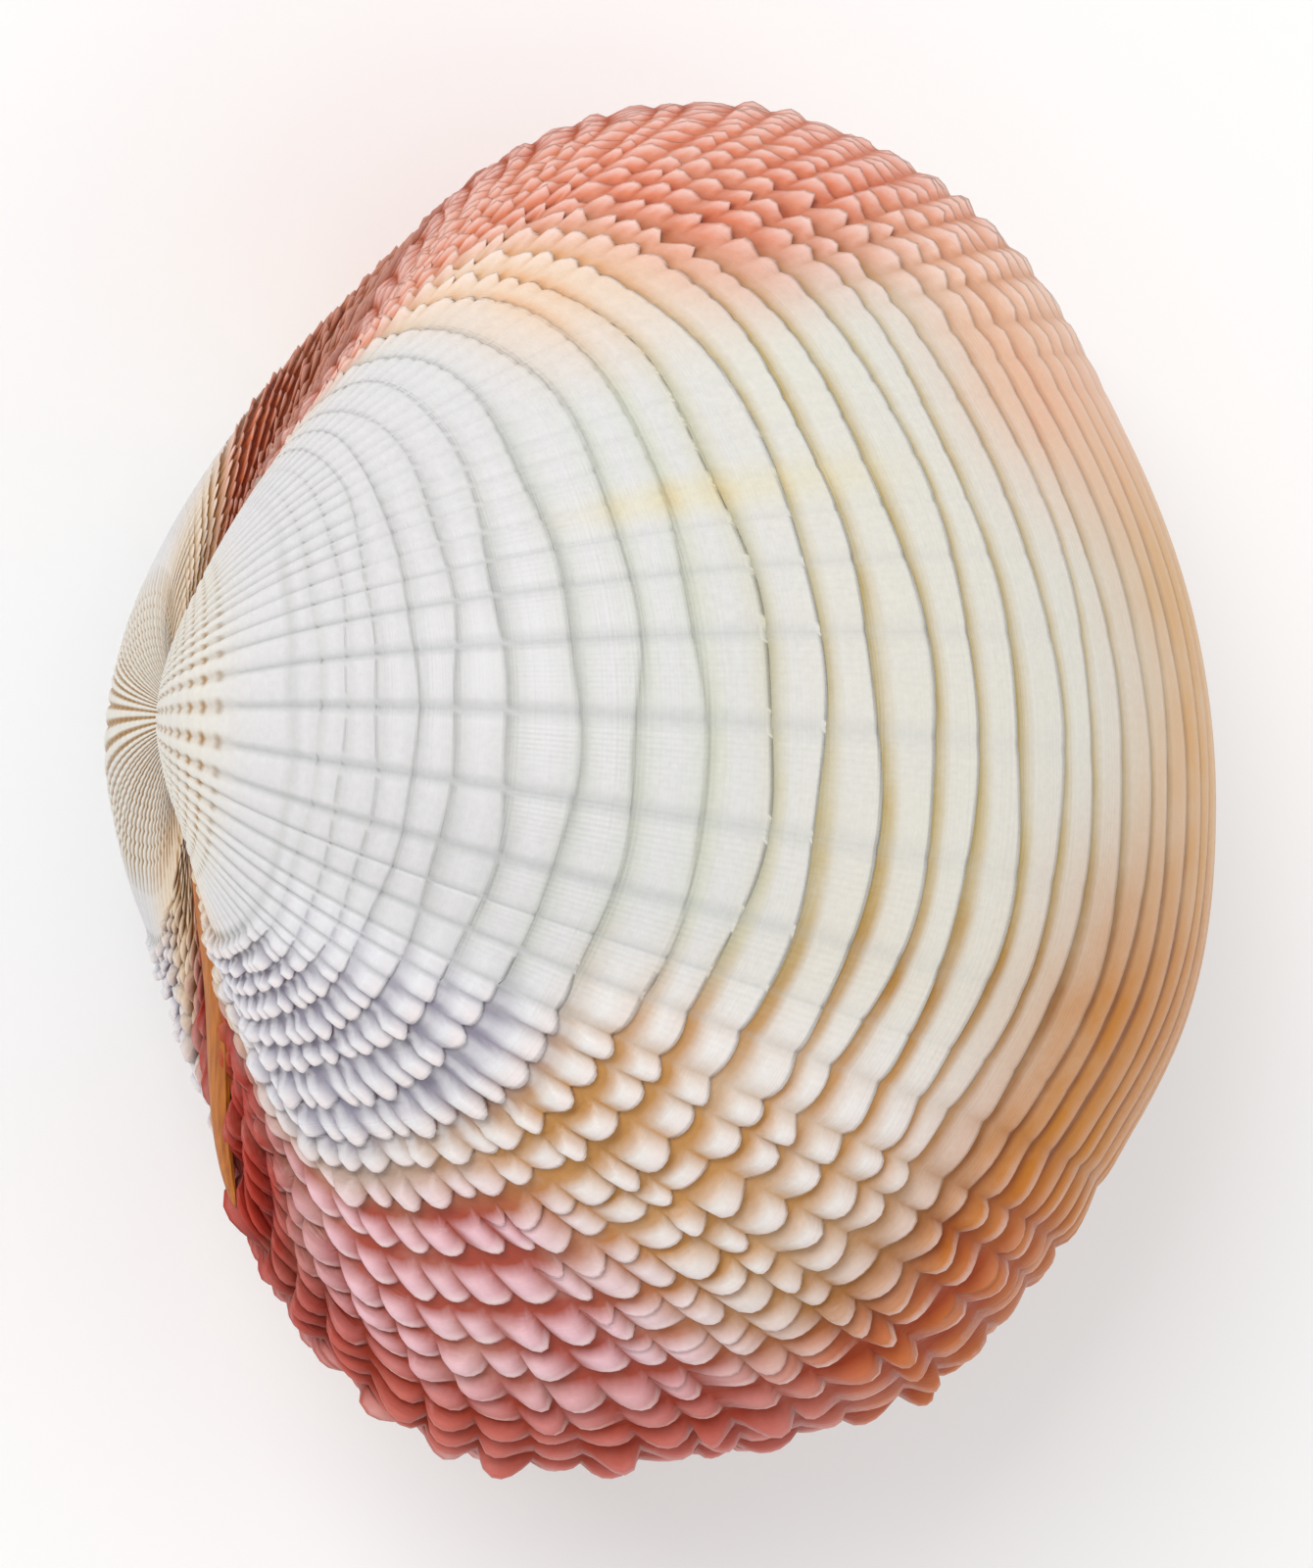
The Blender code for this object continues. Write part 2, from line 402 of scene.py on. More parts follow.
# Painted in this order, each over the ones before it.
ZONES = (
    Zone("grey_umbo", "#D8D6D7", "#A6A8A2", 0.0, 200.0, 4.0, 60.0, 190.0, 22.0),
    Zone("gold_umbo", "#DFDBD2", "#9E7020", 0.0, 200.0, 4.0, 97.0, 190.0, 16.0),
    Zone("buff_hinge", "#E6D4BC", "#B08040", 180.0, 72.0, 40.0, 50.0, 108.0, 20.0),
    Zone("white_bands", "#DDDAD0", "#C0A86A", 0.0, 200.0, 4.0, -40.0, 47.0, 14.0),
    Zone("ochre_mid", "#E0DACE", "#B0803A", -43.0, 23.0, 28.0, -40.0, 44.0, 12.0),
    Zone("tan_edge", "#D8A668", "#84490C", -6.0, 62.0, 36.0, -40.0, 21.0, 16.0),
    Zone("lavender_pockets", "#E4E3E6", "#908A9A", -88.0, 38.0, 20.0, 53.0, 84.0, 10.0),
    Zone("ochre_rear", "#E8E4E0", "#C08C50", -66.0, 28.0, 22.0, -40.0, 56.0, 8.0),
    Zone("ochre_low", "#C67C14", "#844200", -42.0, 30.0, 40.0, -40.0, 28.0, 14.0),
    Zone("gold_ray", "#DDD8C4", "#D4C08C", 41.0, 2.5, 5.0, 38.0, 58.0, 10.0),
    Zone("peach_shoulder", "#E8B898", "#B86C3C", 60.0, 22.0, 28.0, -40.0, 28.0, 14.0),
    Zone("cream_front", "#E6CEB8", "#DDA470", 94.0, 26.0, 24.0, 36.0, 56.0, 12.0),
    Zone("salmon_front", "#DE8260", "#A03A0C", 92.0, 24.0, 22.0, -40.0, 41.0, 13.0),
    Zone("ember_rear", "#CA7030", "#A03A00", -70.0, 20.0, 22.0, -40.0, 23.0, 10.0),
    Zone("rose_rear", "#ECC2CA", "#A44836", -106.0, 24.0, 22.0, -40.0, 50.0, 12.0),
    Zone("wine_rear", "#CC6E62", "#962800", -104.0, 28.0, 24.0, -40.0, 20.0, 16.0),
    Zone("rust_front_hinge", "#DA7648", "#6E1800", 126.0, 22.0, 12.0, -40.0, 62.0, 18.0),
    Zone("brown_front_join", "#CC5A28", "#5A1400", 124.0, 34.0, 16.0, -40.0, 11.0, 8.0),
    Zone("crimson_rear_hinge", "#B43C2C", "#6C0A00", -144.0, 19.0, 18.0, -40.0, 54.0, 20.0),
    Zone("horn_rear_hinge", "#C87420", "#8A3604", -166.0, 16.0, 10.0, -40.0, 60.0, 30.0),
)


@dataclass(frozen=True)
class AragoniteShell:
    """Shell grown as thin plates of aragonite, which gives a satin surface that light enters a little."""

    name: str = "grown_aragonite"
    plate: str = "#D9D8D7"
    gap: str = "#CFD2BC"
    # Pale highlight painted along each lip.
    rim: str = "#F8E6E2"
    # Dark shade painted under each lip.
    lip_shade: str = "#6A3418"
    # Grey shade painted in the furrows between the ribs.
    furrow_shade: str = "#B2B4B3"
    ior: float = 1.53
    specular: float = 0.24
    roughness: float = 0.36
    coat: float = 0.05
    coat_roughness: float = 0.25
    subsurface: float = 0.06
    subsurface_reach: float = 0.5 * MM
    # Colour patches, surface grain, riblets round the shell and growth lines up to the tip.
    patch_mm: float = 5.0
    grain_mm: float = 0.35
    riblets: float = 340.0
    growth_lines: float = 900.0
    riblet_share: float = 0.35
    grain_share: float = 0.5
    bump: float = 0.25
    bump_depth: float = 0.12 * MM

    def build(self) -> bpy.types.Material:
        """The material, whose colours follow the attributes that each valve carries.

        Returns:
            The new material.
        """
        material, tree, surface = new_material(self.name)
        coords = add_node(tree, "ShaderNodeTexCoord")
        patch = add_node(tree, "ShaderNodeTexNoise", {"Vector": coords.outputs["Object"],
                         "Scale": 1.0 / (self.patch_mm * MM), "Detail": 4.0, "Roughness": 0.6})
        wander = add_node(tree, "ShaderNodeMapRange", {"Value": patch.outputs["Fac"], "From Min": 0.3,
                          "From Max": 0.7, "To Min": 0.82, "To Max": 1.18})
        masks = {}
        for name in ["gap"] + [zone.name for zone in ZONES]:
            mark = add_node(tree, "ShaderNodeAttribute", attribute_name=name)
            mask = add_node(tree, "ShaderNodeMath", {0: mark.outputs["Fac"], 1: wander.outputs["Result"]},
                            operation="MULTIPLY", use_clamp=True)
            masks[name] = mask.outputs[0]
        plate = linear(self.plate)
        gap = linear(self.gap)
        for zone in ZONES:
            plate = add_node(tree, "ShaderNodeMix", {0: masks[zone.name], 6: plate, 7: linear(zone.plate)},
                             data_type="RGBA").outputs[2]
            gap = add_node(tree, "ShaderNodeMix", {0: masks[zone.name], 6: gap, 7: linear(zone.gap)},
                           data_type="RGBA").outputs[2]
        colour = add_node(tree, "ShaderNodeMix", {0: masks["gap"], 6: plate, 7: gap},
                          data_type="RGBA").outputs[2]
        # Painted light over the colour: grey shade in the furrows between ribs, a pale highlight along each
        # lip and dark shade under each lip.
        for name, tint in (("furrow_shade", self.furrow_shade), ("rim", self.rim), ("lip_shade", self.lip_shade)):
            mark = add_node(tree, "ShaderNodeAttribute", attribute_name=name)
            colour = add_node(tree, "ShaderNodeMix", {0: mark.outputs["Fac"], 6: colour, 7: linear(tint)},
                              data_type="RGBA").outputs[2]
        grain = add_node(tree, "ShaderNodeTexNoise", {"Vector": coords.outputs["Object"],
                         "Scale": 1.0 / (self.grain_mm * MM), "Detail": 3.0, "Roughness": 0.55})
        tone = add_node(tree, "ShaderNodeMapRange", {"Value": grain.outputs["Fac"], "From Min": 0.25,
                        "From Max": 0.75, "To Min": 0.95, "To Max": 1.03})
        bright = add_node(tree, "ShaderNodeVectorMath", {0: colour, "Scale": tone.outputs["Result"]},
                          operation="SCALE")
        tree.links.new(bright.outputs["Vector"], surface.inputs["Base Color"])
        rough = add_node(tree, "ShaderNodeMapRange", {"Value": grain.outputs["Fac"], "From Min": 0.3,
                         "From Max": 0.7, "To Min": self.roughness - 0.08, "To Max": self.roughness + 0.12})
        tree.links.new(rough.outputs["Result"], surface.inputs["Roughness"])
        for name, value in {"Subsurface Weight": self.subsurface, "Subsurface Radius": (1.0, 0.7, 0.5),
                            "Subsurface Scale": self.subsurface_reach, "Coat Weight": self.coat,
                            "Coat Roughness": self.coat_roughness, "IOR": self.ior,
                            "Specular IOR Level": self.specular}.items():
            surface.inputs[name].default_value = value
        tree.links.new(self.relief(tree, grain), surface.inputs["Normal"])
        return material

    def relief(self, tree: bpy.types.NodeTree, grain: bpy.types.Node) -> bpy.types.NodeSocket:
        """Bump of the fine riblets and growth lines, too fine for the mesh.

        Args:
            tree: the material's nodes.
            grain: noise that roughens the surface.

        Returns:
            The normal for the shader.
        """
        uv = add_node(tree, "ShaderNodeUVMap", uv_map="growth")
        parts = add_node(tree, "ShaderNodeSeparateXYZ", {"Vector": uv.outputs["UV"]})
        riblet = add_node(tree, "ShaderNodeMath", {0: parts.outputs["X"], 1: self.riblets * math.tau},
                          operation="MULTIPLY").outputs[0]
        riblet = add_node(tree, "ShaderNodeMath", {0: riblet}, operation="SINE").outputs[0]
        mark = add_node(tree, "ShaderNodeAttribute", attribute_name="riblet")
        riblet = add_node(tree, "ShaderNodeMath", {0: riblet, 1: mark.outputs["Fac"]},
                          operation="MULTIPLY").outputs[0]
        line = add_node(tree, "ShaderNodeTexNoise", {"W": parts.outputs["Y"], "Scale": self.growth_lines,
                        "Detail": 2.0}, noise_dimensions="1D").outputs["Fac"]
        height = add_node(tree, "ShaderNodeMath", {0: riblet, 1: self.riblet_share, 2: line},
                          operation="MULTIPLY_ADD").outputs[0]
        height = add_node(tree, "ShaderNodeMath", {0: grain.outputs["Fac"], 1: self.grain_share, 2: height},
                          operation="MULTIPLY_ADD").outputs[0]
        bump = add_node(tree, "ShaderNodeBump", {"Strength": self.bump, "Distance": self.bump_depth,
                        "Height": height})
        return bump.outputs["Normal"]


@dataclass(frozen=True)
class DriedConchiolin:
    """Horny ligament, dried in place: orange-brown, fibrous along its length and dull."""

    name: str = "dried_conchiolin"
    light: str = "#D98428"
    dark: str = "#6E2E06"
    roughness: float = 0.55
    # Fibres this thick, several times as long along the band, with this relief.
    fibre_mm: float = 0.25
    fibre_squeeze: float = 0.12
    bump: float = 0.6
    bump_depth: float = 0.15 * MM

    def build(self) -> bpy.types.Material:
        """The material, with fibres that run along the band.

        Returns:
            The new material.
        """
        material, tree, surface = new_material(self.name)
        coords = add_node(tree, "ShaderNodeTexCoord")
        long = add_node(tree, "ShaderNodeMapping", {"Vector": coords.outputs["Object"],
                        "Scale": (1.0, self.fibre_squeeze, 1.0)})
        fibre = add_node(tree, "ShaderNodeTexNoise", {"Vector": long.outputs["Vector"],
                         "Scale": 1.0 / (self.fibre_mm * MM), "Detail": 4.0})
        colour = add_node(tree, "ShaderNodeMix", {0: fibre.outputs["Fac"], 6: linear(self.dark),
                          7: linear(self.light)}, data_type="RGBA")
        tree.links.new(colour.outputs[2], surface.inputs["Base Color"])
        surface.inputs["Roughness"].default_value = self.roughness
        bump = add_node(tree, "ShaderNodeBump", {"Strength": self.bump, "Distance": self.bump_depth,
                        "Height": fibre.outputs["Fac"]})
        tree.links.new(bump.outputs["Normal"], surface.inputs["Normal"])
        return material


@dataclass(frozen=True)
class MattBoard:
    """Matt painted board under the shell: pale, plain and without gloss."""

    name: str = "matt_painted_board"
    colour: str = "#FCFCFC"
    roughness: float = 0.9
    specular: float = 0.1

    def build(self) -> bpy.types.Material:
        """The material, which is even all over.

        Returns:
            The new material.
        """
        material, _, surface = new_material(self.name)
        surface.inputs["Base Color"].default_value = linear(self.colour)
        surface.inputs["Roughness"].default_value = self.roughness
        surface.inputs["Specular IOR Level"].default_value = self.specular
        return material


def new_material(name: str) -> tuple[bpy.types.Material, bpy.types.NodeTree, bpy.types.Node]:
    """Material with the usual shader.

    Args:
        name: the material's name.

    Returns:
        The material, its nodes and its shader.
    """
    material = bpy.data.materials.new(name)
    material.use_nodes = True
    return material, material.node_tree, material.node_tree.nodes["Principled BSDF"]


def add_node(tree: bpy.types.NodeTree, kind: str, values: dict | None = None,
             **settings: object) -> bpy.types.Node:
    """Add a node with its settings, values and links.

    Args:
        tree: the material's nodes.
        kind: Blender's name for the node.
        values: for each input, by name or number, a value or the output that feeds it.
        settings: the node's own properties.

    Returns:
        The new node.
    """
    node = tree.nodes.new(kind)
    for name, value in settings.items():
        setattr(node, name, value)
    for name, value in (values or {}).items():
        if isinstance(value, bpy.types.NodeSocket):
            tree.links.new(value, node.inputs[name])
        else:
            node.inputs[name].default_value = value
    return node


@dataclass
class Scatter:
    """How the scales differ from each other, with a value for each band and rib."""

    reach: np.ndarray
    height: np.ndarray
    lean: np.ndarray


@dataclass
class Row:
    """One row of the outside, with what its relief and marks depend on at each column.

    The step is the row's place in its band, from 0 at the groove to 1 at the lip, and part is its place
    in the row of scales, which can take up two bands. Off is the distance from the middle of the rib,
    from 0 to 1. Real is 0 where a lip has gone under in a shared row of scales.
    """

    columns: Columns
    step: float
    under: bool
    age: float
    front: np.ndarray
    rear: np.ndarray
    part: np.ndarray
    off: np.ndarray
    rise: np.ndarray
    real: np.ndarray

    @property
    def scaly(self) -> np.ndarray:
        """How far the row is broken into scales."""
        return self.front + self.rear

    @property
    def middle(self) -> np.ndarray:
        """How far the row is one smooth lip."""
        return 1.0 - self.scaly


@dataclass(frozen=True)
class Sculpture:
    """Heights of the lips and scales over the smooth wall, and depths of the furrows between the ribs."""

    lip_mm: Course = Course((0.0, 30.0, 50.0, 66.0, 84.0), (0.22, 0.18, 0.04, 0.02, 0.0))
    lip_bend: float = 2.4
    lip_drop: Course = Course((40.0, 52.0), (0.2, 0.0))
    furrow_mm: Course = Course((15.0, 50.0, 84.0, 100.0, 170.0), (0.0, 0.14, 0.30, 0.55, 0.60))
    furrow_sharp: int = 6
    front_ledge: float = 0.34 * MM
    front_scale: float = 0.30 * MM
    front_round: float = 1.4
    front_bend: float = 1.9
    rear_ledge: float = 0.24 * MM
    rear_scale: float = 0.80 * MM
    rear_round: float = 2.2
    scale_drop: float = 0.72
    # Steps in a row of scales between which a rear scale rises, and near its tip bends down again.
    knob_rise: tuple[float, float] = (0.16, 0.58)
    knob_tip: tuple[float, float] = (0.84, 1.0)
    knob_fall: float = 0.25
    bead_sharp: float = 2.5
    bead_dip: float = 0.45
    bead_turns: tuple[float, float] = (92.0, 100.0)

    def furrow(self, row: Row) -> np.ndarray:
        """Depth of the furrow between two ribs, which is shallower among scales."""
        return self.furrow_mm.at(row.age) * MM * (0.35 + 0.65 * row.middle)

    def young(self, row: Row) -> np.ndarray:
        """Relief of a row near the beak, where rings cross the ribs and leave beads."""
        bead = 1.0 if row.step > 0.0 else 1.0 - self.bead_dip * ramp_at(row.age, *self.bead_turns)
        return -self.furrow(row) * (1.0 - (1.0 - row.off ** self.bead_sharp) * bead)

    def grown(self, row: Row) -> np.ndarray:
        """Relief of a row of a growth band.

        Args:
            row: the row of the outside.

        Returns:
            The height over the smooth wall at each column: a low lip in the middle, and at both ends a
            ledge with a scale on each rib.
        """
        lip = self.lip_mm.at(row.age) * MM * (1.0 - (1.0 - row.step) ** self.lip_bend)
        arch = row.step ** self.front_bend
        knob = ramp(row.part, *self.knob_rise) * (1.0 - self.knob_fall * ramp(row.part, *self.knob_tip))
        front = self.front_ledge + self.front_scale * row.rise * (1.0 - row.off ** self.front_round)
        rear = self.rear_ledge + self.rear_scale * row.rise * (1.0 - row.off ** self.rear_round)
        relief = row.middle * lip + row.front * front * arch + row.rear * rear * knob
        relief -= self.furrow(row) * row.off ** self.furrow_sharp
        if row.under:
            relief *= 1.0 - (row.middle * self.lip_drop.at(row.age) + self.scale_drop * row.scaly) * row.real
        return relief


@dataclass(frozen=True)
class Staining:
    """Where the groove colours, the painted highlights along the lips and the painted shade under the lips
    and in the furrows lie.

    A window is the pair of steps in a band, or of places from the middle of a rib to its side, between
    which a colour comes or goes. Angles and turns are in degrees.
    """

    ring: float = 0.2
    ring_window: tuple[float, float] = (0.35, 0.80)
    ring_turns: tuple[float, float] = (91.0, 96.0)
    disc_turn: float = 46.0
    disc_window: tuple[float, float] = (0.0, 0.50)
    disc_lip_window: tuple[float, float] = (0.76, 1.06)
    disc_front_angles: tuple[float, float] = (46.0, 76.0)
    disc_front_turns: tuple[float, float] = (46.0, 56.0)
    outer_window: tuple[float, float] = (0.0, 0.34)
    below_window: tuple[float, float] = (0.12, 0.44)
    below_angles: tuple[float, float] = (-12.0, 24.0)
    below_turns: tuple[float, float] = (42.0, 54.0)
    front_window: tuple[float, float] = (0.05, 0.62)
    pocket_window: tuple[float, float] = (0.27, 0.55)
    pocket_sides: tuple[float, float] = (0.25, 0.8)
    pocket_turn: float = 50.0
    # Where the painted furrow shade lies across a rib, the angles over which it fades towards the front, and
    # the turn from which that fading halves.
    furrow_shade_window: tuple[float, float] = (0.66, 1.0)
    furrow_shade_angles: tuple[float, float] = (24.0, 44.0)
    furrow_shade_turn: float = 76.0
    # How far the gap colour is painted as shade under the smooth lips, by turn.
    under_lip_shade: Course = Course((40.0, 52.0), (0.6, 0.0))
    groove_fade: Course = Course((44.0, 50.0, 60.0, 76.0), (1.0, 0.8, 0.7, 0.5))
    gap_fade: Course = Course((44.0, 54.0, 76.0), (1.0, 0.8, 0.6))
    # The second and third fades below set the painted shade under the lips and in the furrows between ribs by
    # turn.
    lip_shade_fade: Course = Course((10.0, 30.0), (0.2, 0.0))
    furrow_shade_fade: Course = Course((26.0, 44.0, 60.0, 90.0, 97.0), (0.0, 0.25, 0.55, 0.8, 0.0))
    riblet_fade: Course = Course((26.0, 40.0, 58.0, 66.0), (0.0, 1.0, 1.0, 0.0))
    # Strengths of the painted highlight along the front scales, along the rear scales and along the smooth
    # lips.
    front_highlight: float = 0.6
    rear_highlight: float = 0.62
    lip_highlight: float = 0.12

    def groove(self, row: Row) -> np.ndarray:
        """Strength of the gap colour in the groove behind a lip.

        Args:
            row: the row of the outside.

        Returns:
            The strength at each column. In the middle the groove is broader below the disc, and at the
            rear end it is a pocket between the scales.
        """
        place = row.columns.angles / DEG
        below = ramp(-place, *self.below_angles) * (1.0 - ramp_at(row.age, *self.below_turns))
        if row.age < self.disc_turn:
            trough = 1.0 - ramp_at(row.step, *self.outer_window)
        else:
            trough = max(1.0 - ramp_at(row.step, *self.disc_window), ramp_at(row.step, *self.disc_lip_window))
        middle = (1.0 - below) * trough + below * (1.0 - ramp_at(row.step, *self.below_window))
        middle = row.middle * middle * self.groove_fade.at(row.age)
        faint = ramp(place, *self.disc_front_angles) * ramp_at(row.age, *self.disc_front_turns)
        middle = middle * (1.0 - 0.75 * faint)
        sides = 1.0 - 0.4 * ramp(row.off, 0.5, 1.0)
        front = row.front * (1.0 - ramp_at(row.step, *self.front_window) * sides)
        pocket = 1.0 if row.age < self.pocket_turn else 0.4 + 0.6 * ramp(row.off, *self.pocket_sides)
        sides = 1.0 - 0.9 * row.off ** 2.0
        rear = row.rear * pocket * (1.0 - ramp(row.part, *self.pocket_window) * sides)
        return middle + front + rear

    def gap(self, row: Row) -> np.ndarray:
        """Strength of the gap colour on a growth band: in its groove, and under its lip as painted shade.

        Args:
            row: the row of the outside.

        Returns:
            The strength at each column.
        """
        # Under a lip the gap colour is painted shade.
        shade = row.real * float(row.under) * (row.scaly + row.middle * self.under_lip_shade.at(row.age))
        fade = np.where(row.scaly > 0.5, 1.0, self.gap_fade.at(row.age))
        return (shade + self.groove(row) * (1.0 - shade)) * fade

    def ring_gap(self, row: Row) -> np.ndarray:
        """Strength of the gap colour near the beak, where it lies between the beads."""
        stain = self.ring if row.step > 0.0 else 1.0
        return ramp(row.off, *self.ring_window) * stain * ramp_at(row.age, *self.ring_turns)

    def rim(self, row: Row) -> np.ndarray:
        """Strength of the painted highlight along a lip, which is clearest on the scales.

        Args:
            row: the row of the outside.

        Returns:
            The strength at each column.
        """
        tip = 1.0 if row.step == RIM_STEP else 0.6 if row.step == 1.0 and not row.under else 0.0
        hinge = 1.0 - 0.7 * ramp(np.abs(row.columns.angles) / DEG, 116.0, 136.0)
        edge = 0.5 + 0.5 * ramp_at(row.age, 8.0, 18.0)
        pale = self.front_highlight * row.front + self.rear_highlight * row.rear * hinge * edge
        lip = self.lip_highlight * row.middle * ramp_at(-row.age, -46.0, -10.0)
        return (lip + pale * (1.0 - row.off ** 1.5)) * row.real * tip

    def lip_shade(self, row: Row) -> np.ndarray:
        """Strength of the painted shade under a lip: on its underside and, among the front scales, in the
        groove below it.
        """
        under = self.lip_shade_fade.at(row.age) * row.middle + 0.7 * row.scaly
        return under * float(row.under) * row.real + 0.35 * row.front * float(row.step == 0.0)

    def furrow_shade(self, row: Row) -> np.ndarray:
        """Strength of the faint grey painted shade in the furrow between two broad ribs."""
        fall = ramp(row.columns.angles / DEG, *self.furrow_shade_angles) * (1.0 if row.age < self.furrow_shade_turn else 0.5)
        return ramp(row.off, *self.furrow_shade_window) * self.furrow_shade_fade.at(row.age) * (1.0 - fall) * row.middle

    def riblet(self, row: Row) -> np.ndarray:
        """Strength of the fine riblets, which stand on one side of each broad rib."""
        return row.middle * ramp(row.columns.across, -0.9, 0.5) * self.riblet_fade.at(row.age)

    def marks(self, row: Row, young: bool) -> dict[str, np.ndarray]:
        """All marks of a row.

        Args:
            row: the row of the outside.
            young: whether it lies near the beak, where there are no lips.

        Returns:
            The strength at each column, by the name of the attribute.
        """
        bare = np.zeros_like(row.off)
        # The rim mark is a painted highlight along the lips, and the two marks after it are painted shade
        # under the lips and in the furrows; the gap mark is painted shade only under a lip.
        found = {"gap": self.ring_gap(row) if young else self.gap(row),
                 "rim": bare if young else self.rim(row),
                 "lip_shade": bare if young else self.lip_shade(row),
                 "furrow_shade": self.furrow_shade(row)}
        found = {name: strength * row.columns.fade for name, strength in found.items()}
        found["riblet"] = self.riblet(row)
        return found


@dataclass
class Valve:
    """One valve: its grown outside with bands, ribs and scales, its rim and its bowl."""

    name: str
    side: Side
    seed: int
    growth: Growth = Growth()
    ribbing: Ribbing = Ribbing()
    banding: Banding = Banding()
    sculpture: Sculpture = Sculpture()
    staining: Staining = Staining()
    # How far lips and scales lap over the next band, in widths of a band.
    lap_middle: float = 0.04
    lap_front: float = 0.40
    lap_rear: float = 0.17
    lap_paired: float = 0.6
    undercut_middle: Course = Course((40.0, 52.0), (0.01, 0.0))
    undercut_scaly: float = 0.07
    # How unevenly the bands run round the shell, in three and in nine waves, in widths of a band.
    wave_broad: float = 0.09
    wave_fine: float = 0.05
    # How uneven the scales are: each rib has its own mean, and each scale its swing about it.
    swing_reach: float = 1.3
    swing_reach_edge: float = 0.8
    swing_height: float = 1.2
    swing_lean: float = 0.9
    edge_relief: float = 0.6
    wall: float = 2.2 * MM
    bowl_depth: float = 22.0 * MM
    bowl_shift: float = 6.0 * MM
    bowl_lean: float = 1.35
    bowl_rows: int = 5

    def edges(self) -> list[float]:
        """Turns of all band and ring edges, from the final edge to the tip of the beak.

        Returns:
            The turns in radians.
        """
        found = self.banding.edges()
        rings = math.ceil((self.growth.tip_turn - found[-1]) / self.banding.ring_width)
        width = (self.growth.tip_turn - found[-1]) / rings
        return found + [found[-1] + width * (index + 1) for index in range(rings)]

    def bands(self) -> int:
        """Number of growth bands with lips, which the rings near the beak follow."""
        return len(self.banding.edges()) - 1

    def outer_rows(self) -> list[tuple[int, float, bool]]:
        """Rows of the outside from the tip to the edge.

        Returns:
            For each row: the number of its band's edge (rings count on from the bands), its place in
            the band from 0 at the groove to 1 at the lip, and whether it is the underside of a lip.
        """
        rows = []
        for band in range(len(self.edges()) - 2, -1, -1):
            if band >= self.bands():
                rows.extend((band, step, False) for step in self.banding.ring_steps)
            else:
                rows.extend((band, step, False) for step in self.banding.band_steps)
                rows.append((band, 1.0, True))
        return rows

    def scatter(self, edges: int, ribs: int) -> Scatter:
        """Draw how the scales differ.

        Args:
            edges: number of edges of bands and rings.
            ribs: number of ribs.

        Returns:
            The scatter, whose reach swings less near the final edge.
        """
        rng = np.random.default_rng(self.seed)
        shape = (edges, ribs)
        near_edge = np.arange(edges) < self.banding.paired_all
        swing = np.where(near_edge, self.swing_reach_edge, self.swing_reach)[:, None]
        reach = (0.7 + 0.6 * rng.random(ribs)) * (1.0 + swing * (rng.random(shape) - 0.5))
        height = (0.75 + 0.5 * rng.random(ribs)) * (0.35 + self.swing_height * rng.random(shape))
        lean = self.swing_lean * (rng.random(shape) - 0.5)
        return Scatter(reach, height, lean)

    def pairing(self, angles: np.ndarray, band: int, rear: np.ndarray) -> np.ndarray:
        """How far two bands have become one row of scales, from 0 to 1.

        Args:
            angles: angle of each column.
            band: number of the band's edge.
            rear: how scaly each column is as part of the rear end.

        Returns:
            The share for each column, which is 0 above the paired bands.
        """
        if band >= self.banding.paired:
            return np.zeros_like(angles)
        if band < self.banding.paired_all:
            return rear
        return rear * ramp(-angles / DEG, self.banding.paired_from_deg, self.banding.paired_full_deg)

    def lip_shifts(self, columns: Columns, scatter: Scatter, edges: np.ndarray,
                   widths: np.ndarray) -> np.ndarray:
        """How far the lips reach past the edges of their bands.

        Args:
            columns: the grid's columns.
            scatter: how the scales differ.
            edges: turn of each edge.
            widths: width of the band above each edge.

        Returns:
            The turn by which each edge is moved at each column.
        """
        angles, across, ribs = columns.angles, columns.across, columns.ribs
        shifts = []
        for band, turn in enumerate(edges):
            front, rear = self.ribbing.scaly(angles, turn)
            off = np.abs(across + scatter.lean[band][ribs] * (1.0 - across ** 2))
            tongue = self.lap_front * front * (0.5 - off ** 1.2) + self.lap_rear * rear * (0.5 - off ** 2.2)
            shift = (scatter.reach[band][ribs] * tongue + self.lap_middle) * columns.fade
            shift += self.wave_broad * np.sin(3.0 * angles + 1.3 + 2.1 * band)
            shift += self.wave_fine * np.sin(9.0 * angles + 3.7 * band)
            wide = 1.0 + self.lap_paired * self.pairing(angles, band, rear)
            keep = 1.0 if 0 < band <= self.bands() else 0.0
            shifts.append(shift * widths[band] * keep * wide)
        for band in range(1, self.banding.paired, 2):
            halfway = (shifts[band - 1] + shifts[band + 1]) / 2.0
            rear = self.ribbing.scaly(angles, edges[band])[1]
            shifts[band] = shifts[band] + (halfway - shifts[band]) * self.pairing(angles, band, rear)
        return np.array(shifts)

    def row(self, columns: Columns, scatter: Scatter, turn: float, place: tuple[int, float, bool]) -> Row:
        """What the relief and marks of a row depend on.

        Args:
            columns: the grid's columns.
            scatter: how the scales differ.
            turn: turn of the band's edge.
            place: the band's number, the step and whether the row is the underside of a lip.

        Returns:
            The row. Of two paired bands, the inner one takes the scatter of the outer one.
        """
        band, step, under = place
        front, rear = self.ribbing.scaly(columns.angles, turn)
        pair = self.pairing(columns.angles, band, rear)
        inner = band < self.banding.paired and band % 2 == 1
        part = step + pair * ((step / 2.0 if inner else 0.5 + step / 2.0) - step)
        own, shared = scatter.lean[band][columns.ribs], scatter.lean[band - inner][columns.ribs]
        tilt = own + pair * (shared - own)
        off = np.abs(columns.across + tilt * (1.0 - columns.across ** 2) * (front + rear))
        own, shared = scatter.height[band][columns.ribs], scatter.height[band - inner][columns.ribs]
        rise = own + pair * (shared - own)
        real = 1.0 - pair if inner else np.ones_like(pair)
        return Row(columns, step, under, turn / DEG, front, rear, part, off, rise, real)

